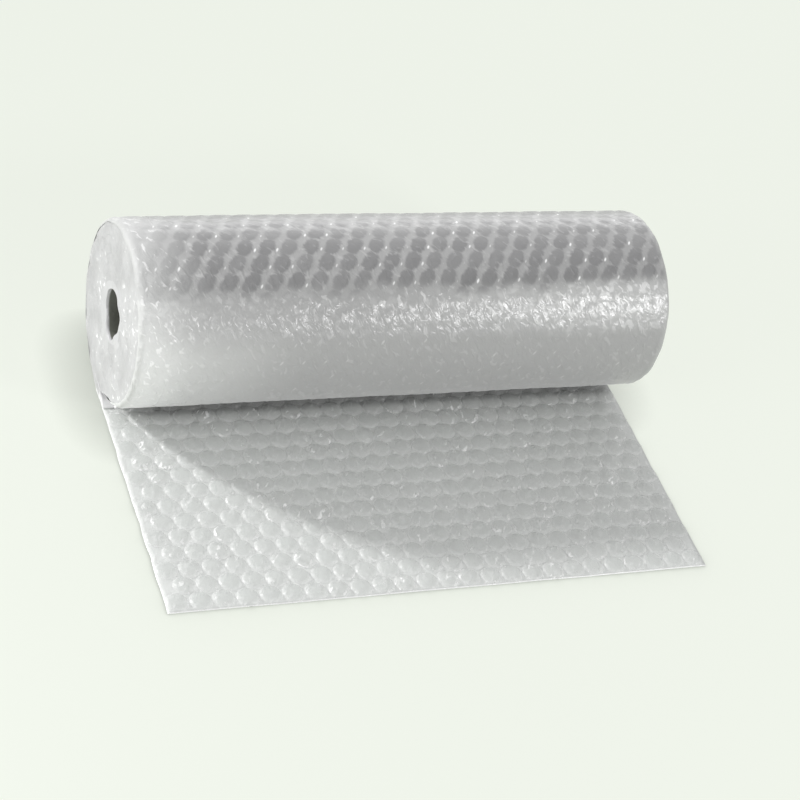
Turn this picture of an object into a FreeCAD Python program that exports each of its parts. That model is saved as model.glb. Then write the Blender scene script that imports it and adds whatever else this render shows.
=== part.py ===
"""A short roll of bubble film that lies on its side, with its loose end rolled out flat in front of it.

The film is one continuous web. Its smooth side is the outside of the roll and the underside of the
loose end, so the bubbles face inwards in the roll and upwards on the loose end. The roll has no core:
the innermost turn closes round the hole that the mandrel left. The roll's weight leaves a small flat
spot under it and presses the bubbles that are caught below its axis.

Millimetres. +X runs along the roll, +Z is up, and the loose end points to -Y. The origin lies on the
surface that the roll rests on, below the middle of its axis.
"""
import FreeCAD, Part
import math
import os

SIZES = [
    ("film_width", 300.0, "width of the web, which is the length of the roll"),
    ("film_thickness", 4.4, "the web with its bubbles"),
    ("flat_film", 1.0, "the web between its bubbles"),
    ("bubble_pitch", 12.0, "from bubble to bubble along a row"),
    ("bubble_foot_radius", 5.5, "a bubble's foot, to its corners"),
    ("bubble_crown_radius", 4.6, "a bubble's top, to its corners"),
    ("edge_margin", 0.5, "flat film left outside the last bubbles"),
    ("bore_radius", 14.0, "the hole through the roll"),
    ("winding_gap", 0.3, "air between one turn and the next"),
    ("turns", 7, "turns wound round the closed innermost one"),
    ("flat_spot", 8.0, "how far the flat spot reaches behind the axis"),
    ("pressed_length", 8.0, "how far the film is pressed in front of the axis"),
    ("tail_length", 156.0, "the loose end, from below the axis to its cut edge"),
]
BUBBLE_CORNERS = 6
BOTTOM = -math.pi / 2
TOP = math.pi / 2
CUBIC_MM_PER_CM3 = 1000.0


def add_sheet(doc):
    """Put the driving dimensions in a spreadsheet, each in a named cell."""
    sheet = doc.addObject("Spreadsheet::Sheet", "Sizes")
    for row, (name, value, note) in enumerate(SIZES, start=1):
        sheet.set("A%d" % row, name)
        sheet.set("B%d" % row, str(value))
        sheet.set("C%d" % row, note)
        sheet.setAlias("B%d" % row, name)
    doc.recompute()
    return sheet


def winding_pitch(sheet):
    """How much one turn adds to the roll's radius."""
    return sheet.film_thickness + sheet.winding_gap


def outer_radius(sheet):
    """The outermost turn's radius, where it leaves the roll."""
    return sheet.bore_radius + sheet.film_thickness + sheet.turns * winding_pitch(sheet)


def axis_height(sheet):
    """The axis stands a little lower than the radius, because of the flat spot."""
    return math.sqrt(outer_radius(sheet) ** 2 - sheet.flat_spot ** 2)


def point(across, up):
    """A point of the roll's section, which lies in the YZ plane."""
    return FreeCAD.Vector(0, across, up)


def arc(centre_height, radius, start, end):
    """An arc about a point on the roll's upright middle line, from one angle to another."""
    angles = (start, (start + end) / 2, end)
    return Part.Arc(*[point(radius * math.cos(a), centre_height + radius * math.sin(a)) for a in angles])


def spiral(sheet, first_radius, half_turns):
    """One side of the web, as half circles from below the axis inwards.

    Each half circle is half a pitch smaller than the one before. Its centre is half a pitch above or
    below the other's, so that the two meet in line.
    """
    half_pitch = winding_pitch(sheet) / 2
    arcs = []
    for step in range(half_turns):
        centre = axis_height(sheet) + half_pitch * (step % 2)
        start = BOTTOM + math.pi * step
        arcs.append(arc(centre, first_radius - half_pitch * step, start, start + math.pi))
    return arcs


def film_outline(sheet):
    """The web seen from the end of the roll, all the way round: smooth side, then bubble side."""
    radius = outer_radius(sheet)
    half_turns = 2 * round(sheet.turns)
    smooth_side = spiral(sheet, radius, half_turns)
    bubble_side = spiral(sheet, radius - sheet.film_thickness, half_turns - 2)
    gap_end = Part.LineSegment(smooth_side[-1].EndPoint, bubble_side[-1].EndPoint)

    flat_end = point(sheet.flat_spot, 0)
    cut_edge_foot = point(-sheet.tail_length, 0)
    cut_edge_top = point(-sheet.tail_length, sheet.flat_film)
    flat_spot_angle = -math.acos(sheet.flat_spot / radius)
    first_half = arc(axis_height(sheet), radius, flat_spot_angle, TOP)
    pressed_height = axis_height(sheet) - radius + sheet.film_thickness
    pressed_end = point(-sheet.pressed_length, pressed_height)
    pressed_foot = point(-sheet.pressed_length, sheet.flat_film)
    corners = [bubble_side[0].StartPoint, pressed_end, pressed_foot, cut_edge_top, cut_edge_foot, flat_end]
    loose_end = [Part.LineSegment(a, b) for a, b in zip(corners, corners[1:])]
    curves = [first_half] + smooth_side[1:] + [gap_end] + bubble_side[::-1] + loose_end
    return Part.Wire(Part.__sortEdges__([curve.toShape() for curve in curves]))


def add_film(doc, sheet):
    """The wound web as wide as it is in reality, with the hole through the roll."""
    section = doc.addObject("Part::Feature", "film_section")
    section.Shape = Part.Face(film_outline(sheet))

    wound = doc.addObject("Part::Extrusion", "wound_film")
    wound.Base = section
    wound.DirMode = "Custom"
    wound.Dir = FreeCAD.Vector(1, 0, 0)
    wound.setExpression("LengthFwd", "Sizes.film_width")
    wound.Symmetric = True
    wound.Solid = True

    bore = doc.addObject("Part::Cylinder", "bore")
    bore.setExpression("Radius", "Sizes.bore_radius")
    bore.setExpression("Height", "2 * Sizes.film_width")
    bore.Placement = FreeCAD.Placement(
        FreeCAD.Vector(-sheet.film_width, 0, axis_height(sheet)),
        FreeCAD.Rotation(FreeCAD.Vector(0, 0, 1), FreeCAD.Vector(1, 0, 0)),
    )

    film = doc.addObject("Part::Cut", "bored_film")
    film.Base = wound
    film.Tool = bore
    return film


def ring(radius, height):
    """A bubble's corners at one height, with two of its sides square to the row."""
    step = 2 * math.pi / BUBBLE_CORNERS
    angles = [step * (corner + 0.5) for corner in range(BUBBLE_CORNERS)]
    return [FreeCAD.Vector(radius * math.cos(a), radius * math.sin(a), height) for a in angles]


def flat_face(corners):
    """The flat face between some corners."""
    return Part.Face(Part.makePolygon(corners + corners[:1]))


def bubble_solid(sheet):
    """One bubble above the flat film, narrower at its top than at its foot."""
    foot = ring(sheet.bubble_foot_radius, sheet.flat_film)
    crown = ring(sheet.bubble_crown_radius, sheet.film_thickness)
    faces = [flat_face(foot[::-1]), flat_face(crown)]
    for this in range(BUBBLE_CORNERS):
        faces.append(flat_face([foot[this - 1], foot[this], crown[this], crown[this - 1]]))
    return Part.makeSolid(Part.makeShell(faces))


def bubble_places(sheet):
    """The bubbles of the loose end: rows half a pitch out of step, counted from the cut edge."""
    row_pitch = sheet.bubble_pitch * math.sin(math.pi / 3)
    half_depth = sheet.bubble_foot_radius
    half_width = half_depth * math.cos(math.pi / BUBBLE_CORNERS)
    full_row = int((sheet.film_width - 2 * (half_width + sheet.edge_margin)) // sheet.bubble_pitch) + 1
    first_row = -sheet.tail_length + half_depth + sheet.edge_margin
    last_row = -sheet.pressed_length - half_depth - sheet.edge_margin
    rows = int((last_row - first_row) // row_pitch) + 1
    places = []
    for row in range(rows):
        in_row = full_row - row % 2
        for index in range(in_row):
            across = (index - (in_row - 1) / 2) * sheet.bubble_pitch
            places.append(FreeCAD.Vector(across, first_row + row * row_pitch, 0))
    return places


def add_bubbles(doc, sheet):
    """Every bubble of the loose end, as copies of one."""
    one = bubble_solid(sheet)
    bubbles = doc.addObject("Part::Feature", "bubbles")
    bubbles.Shape = Part.makeCompound([one.translated(place) for place in bubble_places(sheet)])
    return bubbles


def add_roll(doc, sheet):
    """The whole web as one solid."""
    film = add_film(doc, sheet)
    bubbles = add_bubbles(doc, sheet)
    doc.recompute()
    roll = doc.addObject("Part::Feature", "bubble_film_roll")
    roll.Label = "bubble_film_roll"
    roll.Shape = film.Shape.fuse(bubbles.Shape)
    return roll


def check(doc, pieces):
    """Stop if anything failed to build."""
    for item in doc.Objects:
        if "Invalid" in item.State or "Error" in item.State:
            raise RuntimeError("%s could not be built" % item.Name)
    for piece in pieces:
        if piece.Shape.isNull() or not piece.Shape.isValid() or len(piece.Shape.Solids) != 1:
            raise RuntimeError("%s is not one sound solid" % piece.Label)


def describe(piece):
    """The piece's volume and its reach along each axis."""
    box = piece.Shape.BoundBox
    reach = (box.XMin, box.XMax, box.YMin, box.YMax, box.ZMin, box.ZMax)
    size = "x %.1f to %.1f, y %.1f to %.1f, z %.1f to %.1f mm" % reach
    return "%s: %.1f cm3, %s" % (piece.Label, piece.Shape.Volume / CUBIC_MM_PER_CM3, size)


def main():
    doc = FreeCAD.newDocument("bubble_film_roll")
    sheet = add_sheet(doc)
    pieces = [add_roll(doc, sheet)]
    doc.recompute()
    check(doc, pieces)

    os.makedirs("parts", exist_ok=True)
    for piece in pieces:
        piece.Shape.exportStep("parts/%s.step" % piece.Label)
        print(describe(piece))
        print("axis %.3f mm above the surface" % axis_height(sheet))


main()
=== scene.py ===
"""The looks of a roll of bubble film whose loose end is rolled out flat in front of it.

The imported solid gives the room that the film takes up. Here the same web is made of thin clear film with
round bubbles: the outer turn, the turns inside it, the film round the hole, and the loose end.
"""
import math

import bpy
import numpy as np
from mathutils import Matrix, Vector


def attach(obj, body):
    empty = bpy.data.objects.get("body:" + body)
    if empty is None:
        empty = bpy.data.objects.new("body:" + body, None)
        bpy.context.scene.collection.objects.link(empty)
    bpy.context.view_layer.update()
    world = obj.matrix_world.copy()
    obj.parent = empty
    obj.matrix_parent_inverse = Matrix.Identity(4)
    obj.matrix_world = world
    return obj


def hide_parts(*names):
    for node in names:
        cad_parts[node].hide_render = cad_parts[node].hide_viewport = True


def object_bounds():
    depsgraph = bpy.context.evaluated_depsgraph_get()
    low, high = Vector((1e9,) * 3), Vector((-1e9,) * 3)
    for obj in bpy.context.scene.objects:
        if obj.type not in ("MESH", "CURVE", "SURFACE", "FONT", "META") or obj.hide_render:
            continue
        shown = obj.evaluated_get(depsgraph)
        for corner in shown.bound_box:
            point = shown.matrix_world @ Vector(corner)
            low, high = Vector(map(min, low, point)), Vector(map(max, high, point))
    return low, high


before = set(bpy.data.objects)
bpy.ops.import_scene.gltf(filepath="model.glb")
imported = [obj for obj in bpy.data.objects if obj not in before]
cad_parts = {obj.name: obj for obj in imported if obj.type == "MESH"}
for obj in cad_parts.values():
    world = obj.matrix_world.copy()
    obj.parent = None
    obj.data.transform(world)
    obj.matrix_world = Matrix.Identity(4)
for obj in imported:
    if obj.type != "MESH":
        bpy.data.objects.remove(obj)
CAD_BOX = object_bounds()

bl_info = {
    "name": "Bubble film roll",
    "version": (1, 0, 0),
    "blender": (4, 5, 0),
    "location": "3D View > Sidebar > Film",
    "description": "Makes a roll of clear bubble film with its loose end rolled out",
    "category": "Add Mesh",
}

NODE = "bubble_film_roll"
BODY = "root"
MM = 0.001
BOTTOM = -math.pi / 2
PLACE = "web_place"
OUTWARD = "film_outward"
DOME = "dome_shape"
# A Mix node's factor, its two inputs and its output, for each kind of data
MIX_SOCKETS = {"FLOAT": (0, 2, 3, 0), "VECTOR": (0, 4, 5, 1), "RGBA": (0, 6, 7, 2)}


# The sizes and colours that a user would change


def length(name, description, default):
    return bpy.props.FloatProperty(
        name=name, description=description, default=default, subtype="DISTANCE", unit="LENGTH"
    )


def angle(name, description, degrees):
    return bpy.props.FloatProperty(
        name=name, description=description, default=math.radians(degrees), subtype="ANGLE", unit="ROTATION"
    )


def colour(name, description, default):
    return bpy.props.FloatVectorProperty(name=name, description=description, default=default, subtype="COLOR")


def number(name, description, default):
    return bpy.props.FloatProperty(name=name, description=description, default=default)


def count(name, description, default):
    return bpy.props.IntProperty(name=name, description=description, default=default)


class FilmSizes(bpy.types.PropertyGroup):
    """The web and the roll that it is wound into."""

    width: length("Web width", "From cut side to cut side", CAD_BOX[1].x - CAD_BOX[0].x)
    tail: length("Loose end", "From below the axis to the cut edge", -CAD_BOX[0].y)
    radius: length("Roll radius", "The outermost turn's outside", CAD_BOX[1].y)
    thickness: length("Film thickness", "The web with its bubbles", 4.4 * MM)
    gap: length("Winding gap", "Air between one turn and the next", 0.3 * MM)
    turns: count("Turns", "Turns wound round the innermost one", 7)
    flat_spot: length("Flat spot", "How far it reaches behind the axis", 8.0 * MM)
    hole: length("Hole radius", "The hole through the roll", 14.0 * MM)
    sheet: length("Film", "One layer of film without bubbles, as made here", 0.25 * MM)
    pitch: length("Bubble pitch", "From bubble to bubble along a row", 12.0 * MM)
    first_row: length("First row", "From the cut edge to the middle of the first row", 6.0 * MM)
    slip: length("Slip", "How far the rows on the roll are out of step with the loose end's", 5.0 * MM)
    bubble: length("Bubble radius", "A bubble in the roll, at its foot", 5.85 * MM)
    window: length("Window radius", "Where a bubble shows through the smooth film", 5.1 * MM)
    loose_bubble: length("Loose bubble radius", "A bubble of the loose end, at its foot", 6.35 * MM)
    bubble_height: length("Bubble height", "From the loose end's film to a bubble's top", 3.5 * MM)
    # Between these two heights the roll's front carries painted highlights, as streaks and flakes
    band_foot: length("Band foot", "How low the small creases on the roll's front reach", 67.0 * MM)
    band_top: length("Band top", "Where they end and the bubbles begin to show", 88.5 * MM)


class FilmLooks(bpy.types.PropertyGroup):
    """The finish of the film."""

    weld: colour("Weld", "Flat film between the bubbles", (0.41, 0.41, 0.41))
    # The window's dark grey is partly the bubble pattern and partly painted shade of the bubble's inside
    window: colour("Window", "Film over a bubble", (0.29, 0.29, 0.293))
    # Milky film also serves as painted light at the left end and on the front band
    milky: colour("Milky film", "Where many layers lie on each other", (0.80, 0.81, 0.80))
    loose: colour("Loose end", "The loose end's flat film", (0.66, 0.675, 0.66))
    dome: colour("Dome", "The loose end's bubbles", (0.62, 0.65, 0.63))
    # Crease colour also serves as painted highlight: glints, streaks, lit cut edges, bubble walls, and
    # painted light low in front of the axis
    crease_and_highlight: colour("Crease", "Creases, cut edges and small bright spots", (0.97, 0.97, 0.97))
    end: colour("Roll's ends", "The cut sides of the many turns", (0.50, 0.50, 0.505))
    rim: colour("Rim", "The outer film where it bends in at the roll's ends", (0.52, 0.525, 0.52))
    # Gap is painted shade where the film goes under the roll and at the foot of the roll's front
    gap: colour("Gap", "Film in the gap under the roll", (0.12, 0.12, 0.12))
    # Hole is painted shade deep in the hole
    hole: colour("Hole", "The film deep in the hole", (0.18, 0.185, 0.16))
    floor: colour("Floor", "The surface under the roll", (0.905, 0.946, 0.863))


class StageSettings(bpy.types.PropertyGroup):
    """The camera and the lights."""

    azimuth: angle("Azimuth", "The way the camera looks, from +Y towards +X", 31.8715)
    elevation: angle("Elevation", "How far the camera looks down", 40.8715)
    roll: angle("Roll", "The camera's turn about its own line of sight", 19.2780)
    place: bpy.props.FloatVectorProperty(
        name="Place",
        description="Where the camera stands",
        default=(-0.450043, -0.773070, 0.767479),
        subtype="XYZ_LENGTH",
        unit="LENGTH",
    )
    lens: number("Lens", "Focal length in millimetres", 95.84)
    key: number("Key light", "Strength of the lamp behind the roll", 2.9)
    front: number("Front light", "Power of the light in front, in watts", 7.5)
    side: number("Side light", "Power of the light at the left end, in watts", 1.2)
    back: number("Back light", "Power of the light behind, in watts", 2.6)
    sky: number("Sky", "Strength of the even light all round", 0.46)


# The line that the web follows


class Web:
    """The web's smooth side seen from the roll's end: the loose end, then half circles going inwards."""

    def __init__(self, sizes):
        half_pitch = (sizes.thickness + sizes.gap) / 2
        axis = math.sqrt(sizes.radius**2 - sizes.flat_spot**2)
        self.tail = sizes.tail
        self.axis = axis
        self.runs = []
        start = sizes.tail + sizes.flat_spot
        for step in range(2 * sizes.turns):
            first = -math.acos(sizes.flat_spot / sizes.radius) if step == 0 else BOTTOM + math.pi * step
            radius = sizes.radius - half_pitch * step
            self.runs.append((start, axis + half_pitch * (step % 2), radius, first))
            start += radius * (BOTTOM + math.pi * (step + 1) - first)
        self.end = start

    def half_turn_start(self, step):
        return self.runs[step][0]

    def at(self, along):
        """Points of the smooth side and the way it faces, as (y, z) pairs, for lengths from the cut edge."""
        point = np.stack([along - self.tail, np.zeros_like(along)], axis=-1)
        facing = np.zeros_like(point)
        facing[..., 1] = -1.0
        for start, centre, radius, first in self.runs:
            on = along >= start
            turned = first + (along[on] - start) / radius
            facing[on] = np.stack([np.cos(turned), np.sin(turned)], axis=-1)
            point[on] = facing[on] * radius + np.array([0.0, centre])
        return point, facing


def row_pitch(sizes):
    return sizes.pitch * math.sin(math.pi / 3)


def nearest_bubble(sizes, across, along):
    """How far each place on the web is from the middle of its nearest bubble."""
    rows = row_pitch(sizes)
    found = np.full(across.shape, np.inf)
    for offset in (0, 1):
        x = across - offset * sizes.pitch / 2
        s = along - sizes.first_row - offset * rows
        x = x - np.round(x / sizes.pitch) * sizes.pitch
        s = s - np.round(s / (2 * rows)) * 2 * rows
        found = np.minimum(found, np.hypot(x, s))
    return found


def smooth_step(value, low, high):
    t = np.clip((value - low) / (high - low), 0.0, 1.0)
    return t * t * (3 - 2 * t)


def ripple(across, along, wavelength, seed):
    """A smooth uneven surface between -1 and 1, from waves in a few directions."""
    draw = np.random.default_rng(seed)
    total = np.zeros(across.shape)
    waves = 7
    for _ in range(waves):
        heading = draw.uniform(0, math.pi)
        reach = wavelength * draw.uniform(0.6, 1.7)
        phase = draw.uniform(0, 2 * math.pi)
        ahead = across * math.cos(heading) + along * math.sin(heading)
        total += np.sin(2 * math.pi * ahead / reach + phase)
    return total / math.sqrt(waves) / 1.6


# Meshes


def finish_piece(piece):
    """Hand a finished mesh to the frame."""
    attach(piece, BODY)
    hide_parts(NODE)
    return piece


def link_mesh(name, points, faces):
    mesh = bpy.data.meshes.new(name)
    mesh.from_pydata(points.tolist(), [], faces)
    mesh.update()
    mesh.shade_smooth()
    piece = bpy.data.objects.new(name, mesh)
    bpy.context.scene.collection.objects.link(piece)
    return piece


def add_attribute(mesh, name, kind, values, domain="POINT"):
    made = mesh.attributes.new(name, kind, domain)
    field = "vector" if kind == "FLOAT_VECTOR" else "value"
    made.data.foreach_set(field, np.asarray(values, np.float32).ravel())


def closed_sheet(name, outer, inner, place, material, ring=False, flat_sides=False):
    """A thin closed sheet from two grids of points, the first of them on its smooth side."""
    rows, columns = outer.shape[:2]
    total = rows * columns
    faces = []
    sides = []
    last_row = rows if ring else rows - 1
    for row in range(last_row):
        after = (row + 1) % rows
        for column in range(columns - 1):
            a, b = row * columns + column, after * columns + column
            faces.append((a, b, b + 1, a + 1))
            faces.append((total + a, total + a + 1, total + b + 1, total + b))
        for column, turned in ((0, False), (columns - 1, True)):
            a, b = row * columns + column, after * columns + column
            face = (a, total + a, total + b, b)
            sides.append(len(faces))
            faces.append(face[::-1] if turned else face)
    if not ring:
        for row, turned in ((0, True), (rows - 1, False)):
            for column in range(columns - 1):
                a = row * columns + column
                face = (a, total + a, total + a + 1, a + 1)
                faces.append(face[::-1] if turned else face)
    points = np.concatenate([outer.reshape(-1, 3), inner.reshape(-1, 3)])
    piece = link_mesh(name, points, faces)
    if flat_sides:
        for index in sides:
            piece.data.polygons[index].use_smooth = False
    add_attribute(piece.data, PLACE, "FLOAT_VECTOR", np.concatenate([place.reshape(-1, 3)] * 2))
    piece.data.materials.append(material)
    return piece


def film_grid(web, along, across, sunk, sheet):
    """The two sides of a film: sunk is how far its smooth side lies inside the web's line."""
    point, facing = web.at(along)
    outer = np.empty(across.shape + (3,))
    outer[..., 0] = across
    outer[..., 1:] = point[:, None, :] - facing[:, None, :] * sunk[..., None]
    inner = outer.copy()
    inner[..., 1:] -= facing[:, None, :] * np.broadcast_to(sheet, across.shape)[..., None]
    place = np.stack([across, np.broadcast_to(along[:, None], across.shape), sunk], axis=-1)
    return outer, inner, place


def uneven_edges(shares, rows, half_width, jitter, seed):
    """Places across the web for each row, with its two cut sides a little uneven."""
    draw = np.random.default_rng(seed)
    knots = draw.uniform(0, jitter, (2, rows // 4 + 2))
    at = np.linspace(0, knots.shape[1] - 1.001, rows)
    left, right = (np.interp(at, np.arange(knots.shape[1]), knot) for knot in knots)
    low, high = -half_width + left, half_width - right
    return low[:, None] + (high - low)[:, None] * shares[None, :]


def bare(sizes, web, along):
    """1 where the web is the roll's outside, and 0 where the roll or another turn lies on it."""
    leaves_floor = smooth_step(along, sizes.tail - 4 * MM, sizes.tail + 14 * MM)
    covered = web.half_turn_start(2)
    return leaves_floor * (1 - smooth_step(along, covered - 20 * MM, covered - 4 * MM))


def pulled_in(outer, inner, place):
    """Draw the roll's cut sides in by an uneven amount that runs on from turn to turn."""
    for points in (outer, inner):
        dent = (0.6 + 0.45 * ripple(points[..., 1], points[..., 2], 13 * MM, seed=35)) * MM
        points[..., 0] -= np.sign(points[..., 0]) * np.clip(dent, 0.1 * MM, 1.2 * MM)
    return outer, inner, place


def closer_at_ends(middle, at_end, end_share):
    """Shares of a width from 0 to 1, closer together near its two ends."""
    first = np.linspace(0, end_share, at_end, endpoint=False)
    return np.concatenate([first, np.linspace(end_share, 1 - end_share, middle), 1 - first[::-1]])


# Shader nodes


def feed(tree, inputs, values):
    """Join inputs to sockets or set them to plain values."""
    for key, value in values.items():
        if isinstance(value, bpy.types.NodeSocket):
            tree.links.new(value, inputs[key])
        else:
            inputs[key].default_value = value


def put(tree, kind, inputs=None, **settings):
    """A node with some settings and inputs."""
    made = tree.nodes.new(kind)
    for name, value in settings.items():
        setattr(made, name, value)
    feed(tree, made.inputs, inputs or {})
    return made


def calc(tree, operation, *values, clamp=False):
    made = put(tree, "ShaderNodeMath", dict(enumerate(values)), operation=operation)
    made.use_clamp = clamp
    return made.outputs[0]


def times(tree, first, *others):
    """The product of some values."""
    for other in others:
        first = calc(tree, "MULTIPLY", first, other)
    return first


def highest(tree, first, *others):
    for other in others:
        first = calc(tree, "MAXIMUM", first, other)
    return first


def vector_calc(tree, operation, *values, out="Vector"):
    made = put(tree, "ShaderNodeVectorMath", dict(enumerate(values)), operation=operation)
    return made.outputs[out]


def fade(tree, value, low, high, start=0.0, end=1.0):
    """A soft step: start below low, end above high."""
    made = put(
        tree,
        "ShaderNodeMapRange",
        {"Value": value, "From Min": low, "From Max": high, "To Min": start, "To Max": end},
        interpolation_type="SMOOTHSTEP",
    )
    return made.outputs[0]


def blend(tree, kind, amount, first, second):
    """The first value where the amount is 0, the second where it is 1."""
    made = put(tree, "ShaderNodeMix", data_type=kind)
    factor, one, other, out = MIX_SOCKETS[kind]
    feed(tree, made.inputs, {factor: amount, one: first, other: second})
    return made.outputs[out]


def blend_colour(tree, amount, first, second):
    given = (first, second)
    colours = [tint if isinstance(tint, bpy.types.NodeSocket) else (*tint, 1.0) for tint in given]
    return blend(tree, "RGBA", amount, *colours)


def blend_value(tree, amount, first, second):
    return blend(tree, "FLOAT", amount, first, second)


def new_group(name, inputs, outputs):
    tree = bpy.data.node_groups.new(name, "ShaderNodeTree")
    for label, kind, value in inputs:
        socket = tree.interface.new_socket(label, in_out="INPUT", socket_type=kind)
        if value is not None:
            socket.default_value = value
    for label, kind in outputs:
        tree.interface.new_socket(label, in_out="OUTPUT", socket_type=kind)
    entry = tree.nodes.new("NodeGroupInput")
    leave = tree.nodes.new("NodeGroupOutput")
    return tree, entry.outputs, leave.inputs


def bubble_lattice_group():
    """Where a place on the web lies in the pattern of bubbles."""
    name = "Bubble lattice"
    if name in bpy.data.node_groups:
        return bpy.data.node_groups[name]
    sizes = bpy.context.scene.film_sizes
    tree, given, made = new_group(
        name,
        [
            ("Web Place", "NodeSocketVector", None),
            ("Pitch", "NodeSocketFloat", sizes.pitch),
            ("Row Pitch", "NodeSocketFloat", row_pitch(sizes)),
            ("First Row", "NodeSocketFloat", sizes.first_row),
        ],
        [("Offset", "NodeSocketVector"), ("Random", "NodeSocketFloat")],
    )
    flat = vector_calc(tree, "MULTIPLY", given["Web Place"], (1, 1, 0))
    double_row = calc(tree, "MULTIPLY", given["Row Pitch"], 2.0)
    cell = put(tree, "ShaderNodeCombineXYZ", {0: given["Pitch"], 1: double_row, 2: 1.0}).outputs[0]
    half_pitch = calc(tree, "MULTIPLY", given["Pitch"], 0.5)
    offsets = []
    next_row = calc(tree, "ADD", given["First Row"], given["Row Pitch"])
    for x, y in ((0.0, given["First Row"]), (half_pitch, next_row)):
        origin = put(tree, "ShaderNodeCombineXYZ", {0: x, 1: y}).outputs[0]
        scaled = vector_calc(tree, "DIVIDE", vector_calc(tree, "SUBTRACT", flat, origin), cell)
        part = vector_calc(tree, "FRACTION", vector_calc(tree, "ADD", scaled, (0.5, 0.5, 0.0)))
        centred = vector_calc(tree, "SUBTRACT", part, (0.5, 0.5, 0.0))
        offsets.append(vector_calc(tree, "MULTIPLY", centred, cell))
    distances = [vector_calc(tree, "LENGTH", offset, out="Value") for offset in offsets]
    second_is_nearer = calc(tree, "GREATER_THAN", *distances)
    nearest = blend(tree, "VECTOR", second_is_nearer, *offsets)
    middle = vector_calc(tree, "SUBTRACT", flat, nearest)
    snapped = vector_calc(tree, "SNAP", vector_calc(tree, "ADD", middle, (MM, MM, 0)), (2 * MM, 2 * MM, 1))
    noise = put(tree, "ShaderNodeTexWhiteNoise", {"Vector": snapped}, noise_dimensions="3D")
    tree.links.new(nearest, made["Offset"])
    tree.links.new(noise.outputs["Value"], made["Random"])
    return tree


def film_wrinkle_group():
    """Fine streaks and flakes for painted glints, larger soft patches, and a height for the bump of a thin
    film.
    """
    name = "Film wrinkles"
    if name in bpy.data.node_groups:
        return bpy.data.node_groups[name]
    tree, given, made = new_group(
        name,
        [
            ("Place", "NodeSocketVector", None),
            ("Crease Size", "NodeSocketFloat", 2.8 * MM),
            ("Crease Slant", "NodeSocketFloat", -1.0),
            ("Patch Size", "NodeSocketFloat", 30 * MM),
        ],
        [
            ("Streak", "NodeSocketFloat"),
            ("Flake", "NodeSocketFloat"),
            ("Patch", "NodeSocketFloat"),
            ("Height", "NodeSocketFloat"),
        ],
    )
    turned = put(
        tree,
        "ShaderNodeVectorRotate",
        {"Vector": given["Place"], "Angle": given["Crease Slant"]},
        rotation_type="Z_AXIS",
    ).outputs[0]
    stretched = vector_calc(tree, "MULTIPLY", turned, (0.5, 1.0, 1.0))
    crease_scale = calc(tree, "DIVIDE", 1.0, given["Crease Size"])
    fine = put(
        tree,
        "ShaderNodeTexNoise",
        {"Vector": stretched, "Scale": crease_scale, "Detail": 2.0, "Roughness": 0.5, "Distortion": 0.6},
    ).outputs[0]
    flake_scale = calc(tree, "MULTIPLY", crease_scale, 0.6)
    coarse = put(
        tree,
        "ShaderNodeTexNoise",
        {"Vector": turned, "Scale": flake_scale, "Detail": 1.0, "Distortion": 0.5},
    ).outputs[0]
    patch_scale = calc(tree, "DIVIDE", 1.0, given["Patch Size"])
    patch = put(
        tree,
        "ShaderNodeTexNoise",
        {"Vector": given["Place"], "Scale": patch_scale, "Detail": 3.0, "Roughness": 0.55},
    ).outputs[0]
    tree.links.new(fade(tree, fine, 0.59, 0.68), made["Streak"])
    tree.links.new(fade(tree, coarse, 0.50, 0.66), made["Flake"])
    tree.links.new(fade(tree, patch, 0.3, 0.7), made["Patch"])
    tree.links.new(fine, made["Height"])
    return tree


def use_group(tree, group, inputs):
    made = tree.nodes.new("ShaderNodeGroup")
    made.node_tree = group
    feed(tree, made.inputs, inputs)
    return made.outputs


def new_film(name, **fixed):
    """A material with a Principled shader, some of its sockets set to plain values."""
    material = bpy.data.materials.new(name)
    material.use_nodes = True
    tree = material.node_tree
    shader = tree.nodes["Principled BSDF"]
    shader.inputs["IOR"].default_value = 1.5
    for key, value in fixed.items():
        shader.inputs[key].default_value = value
    return material, tree, shader.inputs


def read(tree, name, out="Vector"):
    return put(tree, "ShaderNodeAttribute", attribute_name=name, attribute_type="GEOMETRY").outputs[out]


def add_bump(tree, shader, height, strength, distance):
    bump = put(tree, "ShaderNodeBump", {"Height": height, "Strength": strength, "Distance": distance})
    tree.links.new(bump.outputs[0], shader["Normal"])


def slanted_distance(tree, offset, place, across, along):
    """How far from a place beside a bubble's middle, measured in a slanted oval."""
    away = vector_calc(tree, "SUBTRACT", offset, (*place, 0.0))
    x, y, _ = put(tree, "ShaderNodeSeparateXYZ", {0: away}).outputs
    slanted = calc(tree, "ADD", x, times(tree, y, 0.45))
    oval = put(
        tree,
        "ShaderNodeCombineXYZ",
        {0: calc(tree, "DIVIDE", slanted, across), 1: calc(tree, "DIVIDE", y, along)},
    )
    return vector_calc(tree, "LENGTH", oval.outputs[0], out="Value")


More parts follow.
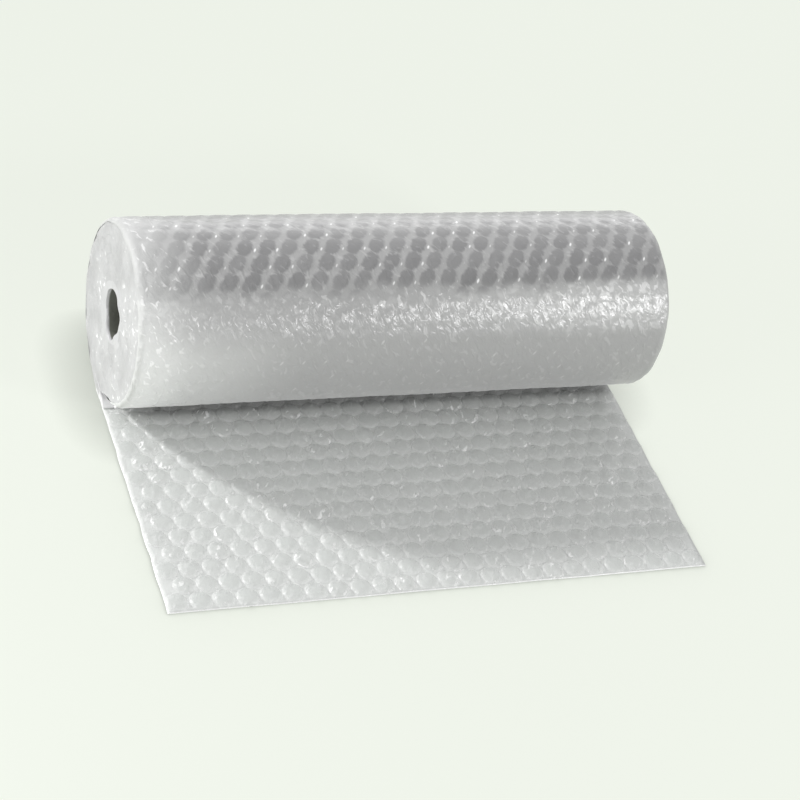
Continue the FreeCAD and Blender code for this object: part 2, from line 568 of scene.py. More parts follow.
class RollMasks:
    """Values from 0 to 1 that say where on the roll the outer film gets painted light, shade, highlights and
    reflection.
    """

    def __init__(self, tree, sizes, patch):
        spot = put(tree, "ShaderNodeTexCoord").outputs["Object"]
        x, y, z = put(tree, "ShaderNodeSeparateXYZ", {0: spot}).outputs
        side = sizes.width / 2
        foot, top = sizes.band_foot, sizes.band_top
        height = calc(tree, "ADD", z, times(tree, calc(tree, "SUBTRACT", patch, 0.5), 3 * MM))

        front = fade(tree, y, -20 * MM, -8 * MM, 1.0, 0.0)
        self.calm = fade(tree, y, -25 * MM, 5 * MM, 1.0, 0.35)
        # Painted reflection: towards the top the windows fade, so the film is paler there
        self.top = fade(tree, y, -10 * MM, 14 * MM, 0.0, 0.45)
        # The lower front, where the windows fade into an even grey as painted reflection
        self.low = times(tree, front, fade(tree, height, top, top + 6 * MM, 1.0, 0.0))
        # The front band that carries painted highlights of the front lamp
        self.highlight_band = times(
            tree,
            front,
            fade(tree, height, foot, foot + 16 * MM),
            fade(tree, height, top, top + 4.5 * MM, 1.0, 0.0),
        )

        # The band's painted highlights get brighter from left to right
        self.streaks = times(tree, self.highlight_band, fade(tree, x, -100 * MM, 130 * MM, 0.12, 0.78))
        self.flakes = times(tree, self.highlight_band, fade(tree, x, 20 * MM, 150 * MM, 0.12, 0.68))
        self.painted_band_light = times(tree, self.highlight_band, fade(tree, x, -50 * MM, 140 * MM), 0.4)

        # Painted light at the left end: the film is paler there, most of all low down
        self.left = fade(tree, x, -side, 42 * MM - side, 1.0, 0.0)
        self.painted_light_low_left = times(tree, self.low, fade(tree, x, 10 * MM - side, 100 * MM - side, 1.0, 0.0))
        self.painted_light_left = times(tree, self.painted_light_low_left, fade(tree, height, 62 * MM, 84 * MM, 0.6, 0.1))
        self.left_edge = fade(tree, x, -side, 20 * MM - side, 1.0, 0.0)
        self.painted_light_edge = times(tree, self.left_edge, fade(tree, height, 20 * MM, 85 * MM, 0.45, 0.25))

        # Painted shade: the film grows darker towards the right end, above the lower front
        above = calc(tree, "SUBTRACT", 1.0, self.low)
        self.right = times(tree, fade(tree, x, 0.0, 120 * MM), above)
        self.rim = fade(tree, calc(tree, "ABSOLUTE", x), side - 4.5 * MM, side - 1 * MM)
        # Painted shade: a dark band low on the roll's front, where it meets the loose end
        self.below = times(
            tree,
            front,
            fade(tree, z, 11.5 * MM, 16.5 * MM, 1.0, 0.0),
            fade(tree, x, 4 * MM - side, 30 * MM - side, 0.0, 0.75),
        )


def window_mask(tree, sizes, lattice, wrinkles, masks):
    """Where a bubble shows through the film, less so where painted light and painted reflection wash it out.
    """
    oval = slanted_distance(tree, lattice["Offset"], (0.0, 0.0), 0.85, 1.17)
    uneven = times(tree, calc(tree, "SUBTRACT", wrinkles["Height"], 0.5), 3.5 * MM)
    edge, soft = sizes.window, 1.2 * MM
    disc = fade(tree, calc(tree, "ADD", oval, uneven), edge - soft, edge + soft, 1.0, 0.0)
    painted_haze = highest(tree, times(tree, masks.low, 0.97), times(tree, masks.left, 0.85), masks.top)
    clear = calc(tree, "SUBTRACT", 1.0, painted_haze)
    return times(tree, disc, clear, blend_value(tree, lattice["Random"], 0.7, 1.0))


def painted_glint_mask(tree, lattice, wrinkles, masks):
    """Painted highlights: a small glint beside each bubble, and the streaks and flakes of the crumpled film.
    """
    chance = lattice["Random"]
    glint = slanted_distance(tree, lattice["Offset"], (5.0 * MM, 2.0 * MM), 0.8 * MM, 1.5 * MM)
    glint = calc(tree, "ADD", glint, blend_value(tree, chance, 0.6, -0.1))
    glint = times(
        tree,
        fade(tree, glint, 0.4, 1.1, 1.0, 0.0),
        fade(tree, chance, 0.15, 0.9, 0.1, 0.95),
        fade(tree, masks.low, 0.2, 1.0, 1.0, 0.3),
    )
    amount = calc(tree, "ADD", masks.streaks, times(tree, masks.left, 0.6))
    amount = calc(tree, "ADD", amount, 0.12)
    streak = calc(tree, "MULTIPLY", wrinkles["Streak"], amount, clamp=True)
    return highest(tree, glint, streak, times(tree, masks.flakes, wrinkles["Flake"]))


def outer_film_material():
    """The smooth side of the outer turn, with the bubbles showing through as darker discs; their darkness is
    partly painted shade of the bubbles' insides.
    """
    looks = bpy.context.scene.film_looks
    sizes = bpy.context.scene.film_sizes
    material, tree, shader = new_film("outer_film", **{"Sheen Weight": 0.5})
    place = read(tree, PLACE)
    on_roll = {"Web Place": place, "First Row": sizes.first_row - sizes.slip}
    lattice = use_group(tree, bubble_lattice_group(), on_roll)
    wrinkles = use_group(tree, film_wrinkle_group(), {"Place": place})
    masks = RollMasks(tree, sizes, wrinkles["Patch"])
    window = window_mask(tree, sizes, lattice, wrinkles, masks)
    bright = painted_glint_mask(tree, lattice, wrinkles, masks)

    base = blend_colour(tree, window, looks.weld, looks.window)
    for amount, tint in (
        # Painted shade towards the right end
        (times(tree, masks.right, 0.3), looks.window),
        # Painted light at the left end
        (times(tree, masks.left, 0.35), looks.milky),
        # Painted light low down at the left and at the very left edge
        (masks.painted_light_left, looks.milky),
        (masks.painted_light_edge, looks.milky),
        # Painted highlight on the front band, and painted light on the lower front
        (calc(tree, "ADD", masks.painted_band_light, times(tree, masks.low, 0.06)), looks.milky),
        # Painted glints, streaks and flakes
        (bright, looks.crease_and_highlight),
        (times(tree, masks.rim, blend_value(tree, masks.painted_light_edge, 0.85, 0.5)), looks.rim),
        # Painted shade at the foot of the roll's front
        (masks.below, looks.gap),
    ):
        base = blend_colour(tree, amount, base, tint)
    alpha = highest(tree, blend_value(tree, window, 0.88, 0.68), masks.painted_light_low_left, bright)
    tree.links.new(base, shader["Base Color"])
    tree.links.new(blend_value(tree, masks.left_edge, 0.26, 0.55), shader["Roughness"])
    tree.links.new(alpha, shader["Alpha"])
    add_bump(tree, shader, times(tree, wrinkles["Height"], masks.calm), 0.7, 1.0 * MM)
    return material


def packed_film_material(name="packed_film", alpha=1.0):
    """Film deep in the roll, milky because many layers lie on each other."""
    looks = bpy.context.scene.film_looks
    material, tree, shader = new_film(name, Roughness=0.45, Alpha=alpha)
    spot = put(tree, "ShaderNodeTexCoord").outputs["Object"]
    wrinkles = use_group(tree, film_wrinkle_group(), {"Place": spot, "Patch Size": 18 * MM})
    patch = wrinkles["Patch"]
    base = blend_colour(tree, patch, [0.82 * share for share in looks.end], looks.end)
    # Painted glints: small bright specks on the roll's ends
    glint_specks = times(tree, wrinkles["Streak"], fade(tree, patch, 0.45, 0.95, 0.05, 0.7))
    base = blend_colour(tree, glint_specks, base, looks.crease_and_highlight)
    _, y, z = put(tree, "ShaderNodeSeparateXYZ", {0: spot}).outputs
    # Painted light: near white low down in front of the axis, where the roll's end meets the loose end in
    # shade
    before_axis = fade(tree, y, -9 * MM, -4 * MM, 0.5, 0.0)
    near_floor = fade(tree, z, 2 * MM, 6 * MM, 1.0, 0.0)
    base = blend_colour(tree, times(tree, before_axis, near_floor), base, looks.crease_and_highlight)
    tree.links.new(base, shader["Base Color"])
    add_bump(tree, shader, wrinkles["Height"], 0.5, 0.8 * MM)
    return material


def wound_bubble_material():
    """The bubbles between the turns."""
    looks = bpy.context.scene.film_looks
    material, tree, shader = new_film("wound_bubble", Roughness=0.22)
    height = read(tree, DOME, "Fac")
    wall = fade(tree, height, 0.1, 0.7, 1.0, 0.0)
    standing = fade(tree, height, 0.0, 0.05)
    # The tops take the dark window colour, partly painted shade of the bubbles' insides; the walls are milky
    tree.links.new(blend_colour(tree, wall, looks.window, looks.milky), shader["Base Color"])
    tree.links.new(times(tree, blend_value(tree, wall, 0.45, 0.8), standing), shader["Alpha"])
    return material


def painted_shade_under_roll(tree, place):
    """Rises where the loose end goes under the roll, for painted shade there, but not at its left side."""
    sizes = bpy.context.scene.film_sizes
    x, y, _ = put(tree, "ShaderNodeSeparateXYZ", {0: place}).outputs
    side = sizes.width / 2
    inside = fade(tree, x, -side, 30 * MM - side, 0.0, 0.5)
    return times(tree, inside, fade(tree, y, sizes.tail - 26 * MM, sizes.tail - 20.5 * MM))


def loose_film_material():
    """The flat film of the loose end, seen between its bubbles."""
    looks = bpy.context.scene.film_looks
    material, tree, shader = new_film("loose_film", Roughness=0.32)
    place = read(tree, PLACE)
    wrinkles = use_group(tree, film_wrinkle_group(), {"Place": place})
    along = put(tree, "ShaderNodeSeparateXYZ", {0: place}).outputs["Y"]
    # Painted highlights: a bright line along the cut edge and faint bright streaks
    cut_edge_highlight = fade(tree, along, 0.4 * MM, 1.2 * MM, 1.0, 0.0)
    bright = highest(tree, times(tree, wrinkles["Streak"], 0.25), cut_edge_highlight)
    # Painted shade under the roll
    base = blend_colour(tree, painted_shade_under_roll(tree, place), looks.loose, looks.gap)
    tree.links.new(blend_colour(tree, bright, base, looks.crease_and_highlight), shader["Base Color"])
    tree.links.new(blend_value(tree, bright, 0.94, 1.0), shader["Alpha"])
    add_bump(tree, shader, wrinkles["Height"], 0.4, 0.7 * MM)
    return material


def loose_bubble_material():
    """The bubbles of the loose end, with painted light making their walls brighter than their tops."""
    looks = bpy.context.scene.film_looks
    material, tree, shader = new_film("loose_bubble", Roughness=0.3)
    height = read(tree, DOME, "Fac")
    place = read(tree, PLACE)
    chance = put(tree, "ShaderNodeTexWhiteNoise", {"Vector": place}, noise_dimensions="3D").outputs["Value"]
    spot = put(tree, "ShaderNodeTexCoord").outputs["Object"]
    wrinkles = use_group(tree, film_wrinkle_group(), {"Place": spot})
    wall = fade(tree, height, 0.1, 0.7, 1.0, 0.0)
    standing = fade(tree, height, 0.0, 0.35)
    bright = times(tree, wrinkles["Streak"], blend_value(tree, chance, 0.0, 0.8))

    base = blend_colour(tree, chance, looks.dome, looks.loose)
    # Painted light on the walls
    base = blend_colour(tree, times(tree, wall, 0.85), base, looks.crease_and_highlight)
    # Painted shade under the roll
    base = blend_colour(tree, painted_shade_under_roll(tree, place), base, looks.gap)
    # Painted glints
    base = blend_colour(tree, bright, base, looks.crease_and_highlight)
    alpha = highest(tree, blend_value(tree, wall, 0.22, 0.30), bright)
    tree.links.new(base, shader["Base Color"])
    tree.links.new(times(tree, alpha, standing), shader["Alpha"])
    add_bump(tree, shader, wrinkles["Height"], 0.5, 0.9 * MM)
    return material


def hole_material():
    """The film round the hole, with painted shade further in."""
    looks = bpy.context.scene.film_looks
    sizes = bpy.context.scene.film_sizes
    material, tree, shader = new_film("hole_film", Roughness=0.45)
    spot = put(tree, "ShaderNodeTexCoord").outputs["Object"]
    across = put(tree, "ShaderNodeSeparateXYZ", {0: spot}).outputs["X"]
    side = sizes.width / 2
    # Painted shade: the hole colour begins just inside the roll's end
    inside = fade(tree, calc(tree, "ABSOLUTE", across), side - 2.6 * MM, side - 1.8 * MM, 1.0, 0.0)
    wrinkles = use_group(tree, film_wrinkle_group(), {"Place": spot})
    tree.links.new(blend_colour(tree, inside, looks.end, looks.hole), shader["Base Color"])
    add_bump(tree, shader, wrinkles["Height"], 0.5, 0.8 * MM)
    return material


# Bubbles, by Geometry Nodes


def point_parts(tree):
    """X, Y and Z of each point of a mesh."""
    position = put(tree, "GeometryNodeInputPosition").outputs[0]
    return put(tree, "ShaderNodeSeparateXYZ", {0: position}).outputs


def bubbles_tree():
    """Puts a bubble on every point of a mesh, standing the way that the point's attribute says."""
    name = "Bubbles on a web"
    if name in bpy.data.node_groups:
        return bpy.data.node_groups[name]
    tree = bpy.data.node_groups.new(name, "GeometryNodeTree")
    for label, kind in (
        ("Places", "NodeSocketGeometry"),
        ("Radius", "NodeSocketFloat"),
        ("Height", "NodeSocketFloat"),
        ("Sides", "NodeSocketInt"),
        ("Fullness", "NodeSocketFloat"),
        ("Smallest", "NodeSocketFloat"),
        ("Seed", "NodeSocketInt"),
        ("Half Width", "NodeSocketFloat"),
        ("Cut Edge", "NodeSocketFloat"),
        ("Film", "NodeSocketMaterial"),
    ):
        tree.interface.new_socket(label, in_out="INPUT", socket_type=kind)
    tree.interface.new_socket("Bubbles", in_out="OUTPUT", socket_type="NodeSocketGeometry")
    given = tree.nodes.new("NodeGroupInput").outputs
    leave = tree.nodes.new("NodeGroupOutput").inputs

    ball = put(tree, "GeometryNodeMeshUVSphere", {"Segments": given["Sides"], "Rings": 6, "Radius": 1.0})
    x, y, z = point_parts(tree)
    rise = calc(tree, "POWER", highest(tree, z, 0.0), given["Fullness"])
    wide = [times(tree, part, given["Radius"]) for part in (x, y)]
    high = times(tree, rise, given["Height"])
    shaped = put(tree, "ShaderNodeCombineXYZ", {0: wide[0], 1: wide[1], 2: high}).outputs[0]
    marked = put(
        tree,
        "GeometryNodeStoreNamedAttribute",
        {"Geometry": ball.outputs["Mesh"], "Name": DOME, "Value": rise},
        data_type="FLOAT",
        domain="POINT",
    )
    dome = put(tree, "GeometryNodeSetPosition", {"Geometry": marked.outputs[0], "Position": shaped})
    smooth = put(tree, "GeometryNodeSetShadeSmooth", {"Geometry": dome.outputs[0], "Shade Smooth": True})
    foot = calc(tree, "LESS_THAN", point_parts(tree)["Z"], 0.001 * MM)
    smooth = put(
        tree,
        "GeometryNodeSetShadeSmooth",
        {"Geometry": smooth.outputs[0], "Selection": foot, "Shade Smooth": False},
        domain="EDGE",
    )

    outward = put(tree, "GeometryNodeInputNamedAttribute", {"Name": OUTWARD}, data_type="FLOAT_VECTOR")
    upright = put(
        tree,
        "FunctionNodeAlignRotationToVector",
        {"Vector": outward.outputs[0]},
        axis="Z",
        pivot_axis="AUTO",
    )
    smallest, largest = 2, 3
    chance = {smallest: given["Smallest"], largest: 1.0, "Seed": given["Seed"]}
    size = put(tree, "FunctionNodeRandomValue", chance, data_type="FLOAT")
    placed = put(
        tree,
        "GeometryNodeInstanceOnPoints",
        {
            "Points": given["Places"],
            "Instance": smooth.outputs[0],
            "Rotation": upright.outputs[0],
            "Scale": size.outputs[1],
        },
    )
    real = put(tree, "GeometryNodeRealizeInstances", {"Geometry": placed.outputs[0]})
    x, y, z = point_parts(tree)
    left_side = times(tree, given["Half Width"], -1.0)
    between_sides = calc(tree, "MINIMUM", highest(tree, x, left_side), given["Half Width"])
    behind_cut = highest(tree, y, given["Cut Edge"])
    between = put(tree, "ShaderNodeCombineXYZ", {0: between_sides, 1: behind_cut, 2: z}).outputs[0]
    cut = put(tree, "GeometryNodeSetPosition", {"Geometry": real.outputs[0], "Position": between})
    dressed = put(tree, "GeometryNodeSetMaterial", {"Geometry": cut.outputs[0], "Material": given["Film"]})
    tree.links.new(dressed.outputs[0], leave["Bubbles"])
    return tree


def add_bubbles(name, places, outward, web_place, material, **shape):
    """Bubbles on a list of places, as one plain mesh. The shape is given as the tree's inputs are named."""
    sizes = bpy.context.scene.film_sizes
    seedbed = link_mesh(name + "_places", places, [])
    add_attribute(seedbed.data, OUTWARD, "FLOAT_VECTOR", outward)
    add_attribute(seedbed.data, PLACE, "FLOAT_VECTOR", web_place)
    tree = bubbles_tree()
    modifier = seedbed.modifiers.new("Bubbles", "NODES")
    modifier.node_group = tree
    margin = 0.3 * MM
    given = {"Half Width": sizes.width / 2 - margin, "Cut Edge": margin - sizes.tail, "Film": material}
    given.update({key.replace("_", " ").title(): value for key, value in shape.items()})
    for item in tree.interface.items_tree:
        if item.in_out == "INPUT" and item.name in given:
            modifier[item.identifier] = given[item.name]
    bpy.context.view_layer.update()
    seen = seedbed.evaluated_get(bpy.context.evaluated_depsgraph_get())
    mesh = bpy.data.meshes.new_from_object(seen)
    if not mesh.polygons:
        raise RuntimeError("%s has no bubbles" % name)
    mesh.name = name
    bpy.data.objects.remove(seedbed)
    piece = bpy.data.objects.new(name, mesh)
    bpy.context.scene.collection.objects.link(piece)
    return finish_piece(piece)


def flat_pairs(pairs, third):
    """Rows of two values, with the same third one after each."""
    return np.column_stack([pairs, np.full(len(pairs), third)])


def bubble_rows(sizes, start, end, columns_kept=None):
    """Places of the bubbles on the web between two lengths from the cut edge, as (across, along) pairs."""
    rows = row_pitch(sizes)
    first = math.ceil((start - sizes.first_row) / rows)
    last = math.floor((end - sizes.first_row) / rows)
    full = int(sizes.width // sizes.pitch)
    found = []
    for row in range(first, last + 1):
        in_row = full - row % 2
        for column in range(in_row):
            if columns_kept and columns_kept <= column < in_row - columns_kept:
                continue
            found.append(((column - (in_row - 1) / 2) * sizes.pitch, sizes.first_row + row * rows))
    return np.array(found)


# Operators, one for each piece or group of like pieces


class FILM_OT_loose_end(bpy.types.Operator):
    """Make the flat film of the loose end and the bubbles that stand on it"""

    bl_idname = "film.loose_end"
    bl_label = "Loose end"

    def execute(self, context):
        sizes = context.scene.film_sizes
        web = Web(sizes)
        along = np.linspace(0.3 * MM, sizes.tail + sizes.flat_spot - 2 * MM, 84)
        across = uneven_edges(np.linspace(0, 1, 130), len(along), sizes.width / 2, 0.7 * MM, seed=11)
        lengths = np.broadcast_to(along[:, None], across.shape)
        covered = smooth_step(lengths, sizes.tail - 6 * MM, sizes.tail + 4 * MM)
        across = across * (1 - 0.004 * covered)
        free = smooth_step(sizes.tail - lengths, 6 * MM, 40 * MM)
        wave = 0.5 + 0.5 * ripple(across, lengths, 60 * MM, seed=12)
        lift = (0.08 + 0.5 * np.clip(wave, 0, 1) * free) * MM
        sides = film_grid(web, along, across, lift, sizes.sheet * 1.4)
        finish_piece(closed_sheet("loose_end_film", *sides, loose_film_material()))

        spots = bubble_rows(sizes, 0.0, sizes.tail - 12 * MM)
        draw = np.random.default_rng(13)
        spots = spots + draw.uniform(-0.25, 0.25, spots.shape) * MM
        base = (0.45 + 0.15 * ripple(spots[:, 0], spots[:, 1], 60 * MM, seed=12)) * MM
        places = np.column_stack([spots[:, 0], spots[:, 1] - sizes.tail, base])
        lean = draw.uniform(-0.03, 0.03, (len(spots), 2))
        add_bubbles(
            "loose_end_bubbles",
            places,
            flat_pairs(lean, 1.0),
            flat_pairs(spots, 0.0),
            loose_bubble_material(),
            radius=sizes.loose_bubble,
            height=sizes.bubble_height,
            sides=16,
            fullness=1.6,
            smallest=0.97,
            seed=14,
        )
        return {"FINISHED"}


class FILM_OT_outer_turn(bpy.types.Operator):
    """Make the smooth film of the outer turn and the bubbles inside it"""

    bl_idname = "film.outer_turn"
    bl_label = "Outer turn"

    def execute(self, context):
        sizes = context.scene.film_sizes
        web = Web(sizes)
        start = sizes.tail - 4 * MM
        end = web.half_turn_start(2) + 8 * MM
        along = np.arange(start, end, 1.75 * MM)
        shares = closer_at_ends(160, 8, 0.02)
        across = uneven_edges(shares, len(along), sizes.width / 2 - 0.4 * MM, 0.3 * MM, seed=21)
        lengths = np.broadcast_to(along[:, None], across.shape)
        weld = smooth_step(nearest_bubble(sizes, across, lengths + sizes.slip), 3.2 * MM, 6.4 * MM)
        soft = 0.5 + 0.5 * ripple(across, lengths, 34 * MM, seed=22)
        crumple = np.abs(ripple(across, lengths, 9 * MM, seed=23))
        curl = self.curl(sizes, across) * bare(sizes, web, lengths)
        sunk = (0.3 * weld + 0.35 * np.clip(soft, 0, 1) + 0.2 * crumple) * MM + curl
        sides = film_grid(web, along, across, sunk, sizes.sheet)
        finish_piece(closed_sheet("outer_turn_film", *sides, outer_film_material()))

        spots = bubble_rows(sizes, start + 14 * MM, end - 10 * MM) - np.array([0.0, sizes.slip])
        self.bubbles(sizes, web, spots)
        return {"FINISHED"}

    def curl(self, sizes, across):
        """How far the film turns in towards its cut sides, in a small bend."""
        half = sizes.width / 2
        bend = np.where(across < 0, 4.5 * MM, 2.0 * MM)
        past = np.clip(np.abs(across) - (half - bend), 0, 0.96 * bend)
        return bend - np.sqrt(bend**2 - past**2)

    def bubbles(self, sizes, web, spots):
        point, facing = web.at(spots[:, 1])
        depth = 1.0 * MM + self.curl(sizes, spots[:, :1]) * bare(sizes, web, spots[:, 1:])
        foot = point - facing * depth
        add_bubbles(
            "outer_turn_bubbles",
            np.column_stack([spots[:, 0], foot]),
            np.column_stack([np.zeros(len(spots)), -facing]),
            flat_pairs(spots, 0.0),
            wound_bubble_material(),
            radius=sizes.bubble,
            height=sizes.thickness - 1.3 * MM,
            sides=12,
            fullness=0.62,
            smallest=0.93,
            seed=24,
            half_width=sizes.width / 2 - 3.0 * MM,
        )


class FILM_OT_inner_turns(bpy.types.Operator):
    """Make the turns inside the outer one, with the bubbles that show at the roll's two ends"""

    bl_idname = "film.inner_turns"
    bl_label = "Inner turns"

    def execute(self, context):
        sizes = context.scene.film_sizes
        web = Web(sizes)
        start = web.half_turn_start(2) - 6 * MM
        self.film(sizes, web, start)
        self.bubbles(sizes, web, start)
        self.packing(sizes, web, start)
        return {"FINISHED"}

    def film(self, sizes, web, start):
        along = np.arange(start, web.end, 2.6 * MM)
        shares = np.concatenate([np.linspace(0, 0.08, 9), np.linspace(0.2, 0.8, 7), np.linspace(0.92, 1, 9)])
        across = uneven_edges(shares, len(along), sizes.width / 2 - 1.6 * MM, 0.3 * MM, seed=31)
        lengths = np.broadcast_to(along[:, None], across.shape)
        near_end = smooth_step(np.abs(across), sizes.width / 2 - 20 * MM, sizes.width / 2)
        sway = np.clip(0.5 + 0.6 * ripple(across, lengths, 24 * MM, seed=32), 0, 1)
        sunk = (0.1 + 0.5 * sway * near_end) * MM
        sides = film_grid(web, along, across, sunk, sizes.sheet * 1.2)
        finish_piece(closed_sheet("inner_turns_film", *sides, packed_film_material("turn_film", 0.85)))

    def bubbles(self, sizes, web, start):
        spots = bubble_rows(sizes, start + 8 * MM, web.end - 4 * MM, columns_kept=1)
        point, facing = web.at(spots[:, 1])
        foot = point - facing * 0.6 * MM
        draw = np.random.default_rng(33)
        spots = spots + draw.uniform(-0.6, 0.6, spots.shape) * MM
        add_bubbles(
            "inner_turns_bubbles",
            np.column_stack([spots[:, 0], foot]),
            np.column_stack([draw.normal(0, 0.07, len(spots)), -facing]),
            flat_pairs(spots, 0.0),
            wound_bubble_material(),
            radius=sizes.bubble,
            height=sizes.thickness - 0.7 * MM,
            sides=10,
            fullness=0.62,
            smallest=0.85,
            seed=34,
            half_width=sizes.width / 2 - 0.8 * MM,
        )

    def packing(self, sizes, web, start):
        """The bubbles further in, which show only as a milky mass between the films."""
        turn = sizes.thickness + sizes.gap
        material = packed_film_material()
        along = np.arange(start + 6 * MM, web.end, 2.6 * MM)
        depth = np.array([0.0, 0.6, 2.0, 6.0, 14.0]) * MM
        steps = np.concatenate([depth - sizes.width / 2, sizes.width / 2 - depth[::-1]])
        across = np.broadcast_to(steps, (len(along), len(steps)))
        apart = 0.02 * MM
        sunk = np.full(across.shape, apart)
        sides = pulled_in(*film_grid(web, along, across, sunk, turn - 2 * apart))
        finish_piece(closed_sheet("inner_turns_packing", *sides, material, flat_sides=True))

        # Under the outer film it follows that film's bend, and begins as a low ramp on the loose end
        below_film = 0.9 * MM
        along = np.arange(sizes.tail - 16 * MM, start + 9 * MM, 2.6 * MM)
        rise = smooth_step(along, sizes.tail - 18 * MM, sizes.tail - 8 * MM)[:, None]
        bends = {"left": (-1, [2.4, 1.6, 0.55, 0.1, 0.1]), "right": (1, [0.7, 0.35, 0.1, 0.1, 0.1])}
        for name, (side, bend) in bends.items():
            across = np.broadcast_to(side * (sizes.width / 2 - depth[::-side]), (len(along), len(depth)))
            bend = np.array(bend)[::-side] * MM * bare(sizes, web, along)[:, None]
            thick = (turn - below_film - bend) * rise
            sides = pulled_in(*film_grid(web, along, across, below_film + bend, thick))
            finish_piece(closed_sheet("outer_turn_packing_" + name, *sides, material, flat_sides=True))


class FILM_OT_hole(bpy.types.Operator):
    """Make the film that closes round the hole through the roll"""

    bl_idname = "film.hole"
    bl_label = "Film round the hole"

    def execute(self, context):
        sizes = context.scene.film_sizes
        web = Web(sizes)
        turned = np.linspace(0, 2 * math.pi, 72, endpoint=False)
        half = sizes.width / 2
        near = np.linspace(half - 14 * MM, half, 8)
        steps = np.concatenate([-near[::-1], near])
        draw = np.random.default_rng(41)
        across = np.broadcast_to(steps, (len(turned), len(steps)))
        angles = np.broadcast_to(turned[:, None], across.shape)
        near_end = smooth_step(np.abs(across), half - 14 * MM, half)
        wobble = np.zeros(across.shape)
        for waves in (2, 3, 5, 8):
            phase = draw.uniform(0, 2 * math.pi)
            wobble += np.sin(waves * angles + phase + across * 90) / waves
        inner_radius = sizes.hole + (0.1 + 0.9 * np.clip(0.5 + wobble * 0.6, 0, 1.3) * near_end) * MM
        near_left = smooth_step(-across, half - 18 * MM, half)
        for direction, amount, spread in ((-40, 5.0, 0.85), (205, 4.2, 0.65)):
            turned_away = np.angle(np.exp(1j * (angles - math.radians(direction))))
            pressed = np.exp(-((turned_away / spread) ** 2)) * near_left
            inner_radius = inner_radius - (amount + 0.9 * wobble) * MM * pressed
        outer_radius = np.full(across.shape, sizes.hole + sizes.thickness + 0.6 * MM)
        facing = np.stack([np.zeros(across.shape), np.cos(angles), np.sin(angles)], axis=-1)
        middle = np.stack([across, np.zeros(across.shape), np.full(across.shape, web.axis)], axis=-1)
        outer = middle + facing * outer_radius[..., None]
        inner = middle + facing * inner_radius[..., None]
        place = np.stack([across, angles * sizes.hole, wobble], axis=-1)
        sides = pulled_in(outer, inner, place)
        finish_piece(closed_sheet("hole_film", *sides, hole_material(), ring=True, flat_sides=True))
        return {"FINISHED"}


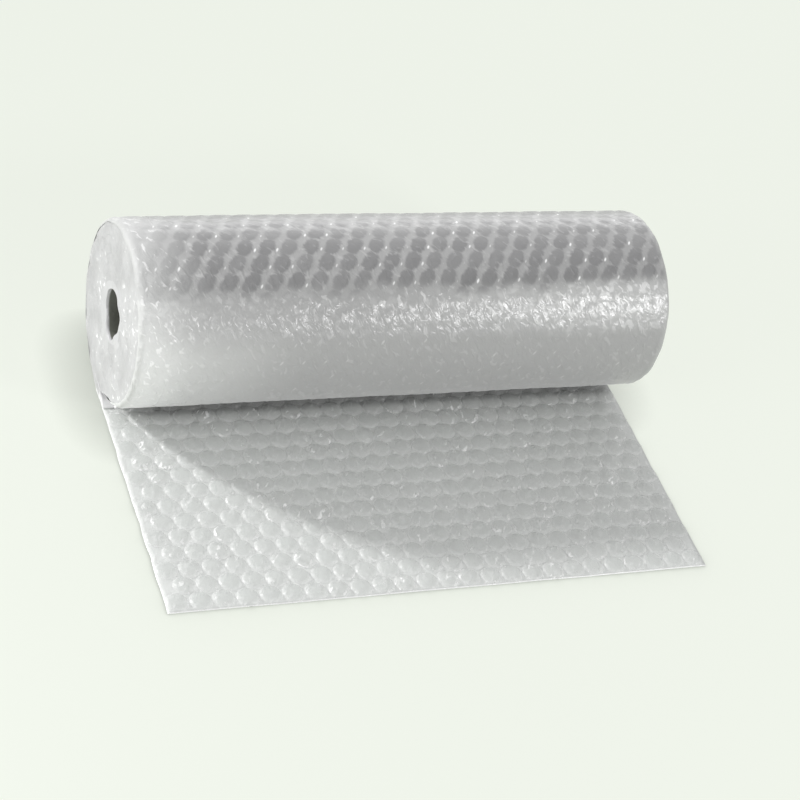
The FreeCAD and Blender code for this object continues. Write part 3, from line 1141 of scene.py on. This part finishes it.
class FILM_OT_stage(bpy.types.Operator):
    """Put up the camera, the lights and the floor"""

    bl_idname = "film.stage"
    bl_label = "Stage"

    def execute(self, context):
        scene = context.scene
        settings = scene.film_stage
        self.camera(scene, settings)
        floor = self.floor(scene)
        self.lamps(scene, settings, floor)
        self.sky(scene, settings)
        scene.view_settings.view_transform = "Standard"
        return {"FINISHED"}

    def camera(self, scene, settings):
        a, b, c = settings.azimuth, settings.elevation, settings.roll
        ahead = Vector((math.sin(a) * math.cos(b), math.cos(a) * math.cos(b), -math.sin(b)))
        level = Vector((math.cos(a), -math.sin(a), 0.0))
        above = level.cross(ahead)
        right = level * math.cos(c) + above * math.sin(c)
        up = above * math.cos(c) - level * math.sin(c)
        data = bpy.data.cameras.new("camera")
        data.sensor_width = 36.0
        data.lens = settings.lens
        camera = bpy.data.objects.new("camera", data)
        scene.collection.objects.link(camera)
        turned = Matrix((right, up, -ahead)).transposed().to_4x4()
        camera.matrix_world = Matrix.Translation(Vector(settings.place)) @ turned
        scene.camera = camera

    def floor(self, scene):
        reach, below = 4.0, -0.2 * MM
        corners = [(x * reach, y * reach, below) for x, y in ((-1, -1), (1, -1), (1, 1), (-1, 1))]
        floor = link_mesh("floor", np.array(corners), [(0, 1, 2, 3)])
        material, tree, shader = new_film("floor_paint", Roughness=0.7)
        tint = scene.film_looks.floor
        shader["Base Color"].default_value = (*tint, 1.0)
        # Painted shade: the floor's glow darkens close to the roll and the film, by ambient occlusion
        clear = put(tree, "ShaderNodeAmbientOcclusion", {"Distance": 0.03}).outputs["AO"]
        near = calc(tree, "POWER", clear, 3.0)
        shade = blend_colour(tree, near, [0.62 * part for part in tint], tint)
        plain = put(tree, "ShaderNodeEmission", {"Color": shade, "Strength": 1.0}).outputs[0]
        painted = tree.nodes["Principled BSDF"].outputs[0]
        seen = put(tree, "ShaderNodeLightPath").outputs["Is Camera Ray"]
        mixed = put(tree, "ShaderNodeMixShader", {0: times(tree, seen, 0.8), 1: painted, 2: plain})
        tree.links.new(mixed.outputs[0], tree.nodes["Material Output"].inputs["Surface"])
        floor.data.materials.append(material)
        return floor

    def lamps(self, scene, settings, floor):
        lamp = bpy.data.lights.new("key", "SUN")
        lamp.energy = settings.key
        lamp.angle = math.radians(5)
        key = self.aim(scene, lamp, (-0.7535, 0.5157, 0.4073), (0, 0, 0))
        beyond_key = bpy.data.collections.new("beyond_key")
        beyond_key.objects.link(floor)
        beyond_key.collection_objects[0].light_linking.link_state = "EXCLUDE"
        key.light_linking.receiver_collection = beyond_key
        for name, power, place, target, size in (
            ("back", settings.back, (0.45, 1.25, 0.30), (0.05, 0, 0.09), (1.2, 0.35)),
            ("front", settings.front, (0.825, -1.05, 0.675), (0, 0, 0.05), (0.3, 0.2)),
            ("side", settings.side, (-0.55, -0.25, 0.30), (-0.13, -0.03, 0.04), (0.3, 0.3)),
        ):
            lamp = bpy.data.lights.new(name, "AREA")
            lamp.shape = "RECTANGLE"
            lamp.size, lamp.size_y = size
            lamp.energy = power
            self.aim(scene, lamp, place, target)

    def aim(self, scene, lamp, place, target):
        item = bpy.data.objects.new(lamp.name, lamp)
        item.location = place
        item.rotation_mode = "QUATERNION"
        item.rotation_quaternion = (Vector(place) - Vector(target)).to_track_quat("Z", "Y")
        scene.collection.objects.link(item)
        return item

    def sky(self, scene, settings):
        world = bpy.data.worlds.new("sky")
        world.use_nodes = True
        tree = world.node_tree
        back = tree.nodes["Background"]
        paths = put(tree, "ShaderNodeLightPath").outputs
        tint = tuple(scene.film_looks.floor)
        direct = paths["Is Camera Ray"]
        mirrored = times(tree, paths["Is Glossy Ray"], 0.9)
        seen = highest(tree, direct, paths["Is Transmission Ray"], mirrored)
        tree.links.new(blend_colour(tree, direct, (1.0, 1.0, 1.0), tint), back.inputs["Color"])
        tree.links.new(blend_value(tree, seen, settings.sky, 1.0), back.inputs["Strength"])
        scene.world = world


class FILM_PT_roll(bpy.types.Panel):
    """The steps that make the roll"""

    bl_label = "Bubble film roll"
    bl_idname = "FILM_PT_roll"
    bl_space_type = "VIEW_3D"
    bl_region_type = "UI"
    bl_category = "Film"

    def draw(self, context):
        column = self.layout.column()
        for step in STEPS:
            column.operator(step.bl_idname)
        for settings in (context.scene.film_sizes, context.scene.film_looks, context.scene.film_stage):
            for name in settings.bl_rna.properties.keys():
                if name not in ("rna_type", "name"):
                    column.prop(settings, name)


STEPS = (FILM_OT_loose_end, FILM_OT_outer_turn, FILM_OT_inner_turns, FILM_OT_hole, FILM_OT_stage)
CLASSES = (FilmSizes, FilmLooks, StageSettings, *STEPS, FILM_PT_roll)


def register():
    for item in CLASSES:
        bpy.utils.register_class(item)
    bpy.types.Scene.film_sizes = bpy.props.PointerProperty(type=FilmSizes)
    bpy.types.Scene.film_looks = bpy.props.PointerProperty(type=FilmLooks)
    bpy.types.Scene.film_stage = bpy.props.PointerProperty(type=StageSettings)


def unregister():
    del bpy.types.Scene.film_stage
    del bpy.types.Scene.film_looks
    del bpy.types.Scene.film_sizes
    for item in reversed(CLASSES):
        bpy.utils.unregister_class(item)


def main():
    register()
    bpy.ops.film.loose_end()
    bpy.ops.film.outer_turn()
    bpy.ops.film.inner_turns()
    bpy.ops.film.hole()
    bpy.ops.film.stage()


if __name__ == "__main__":
    main()
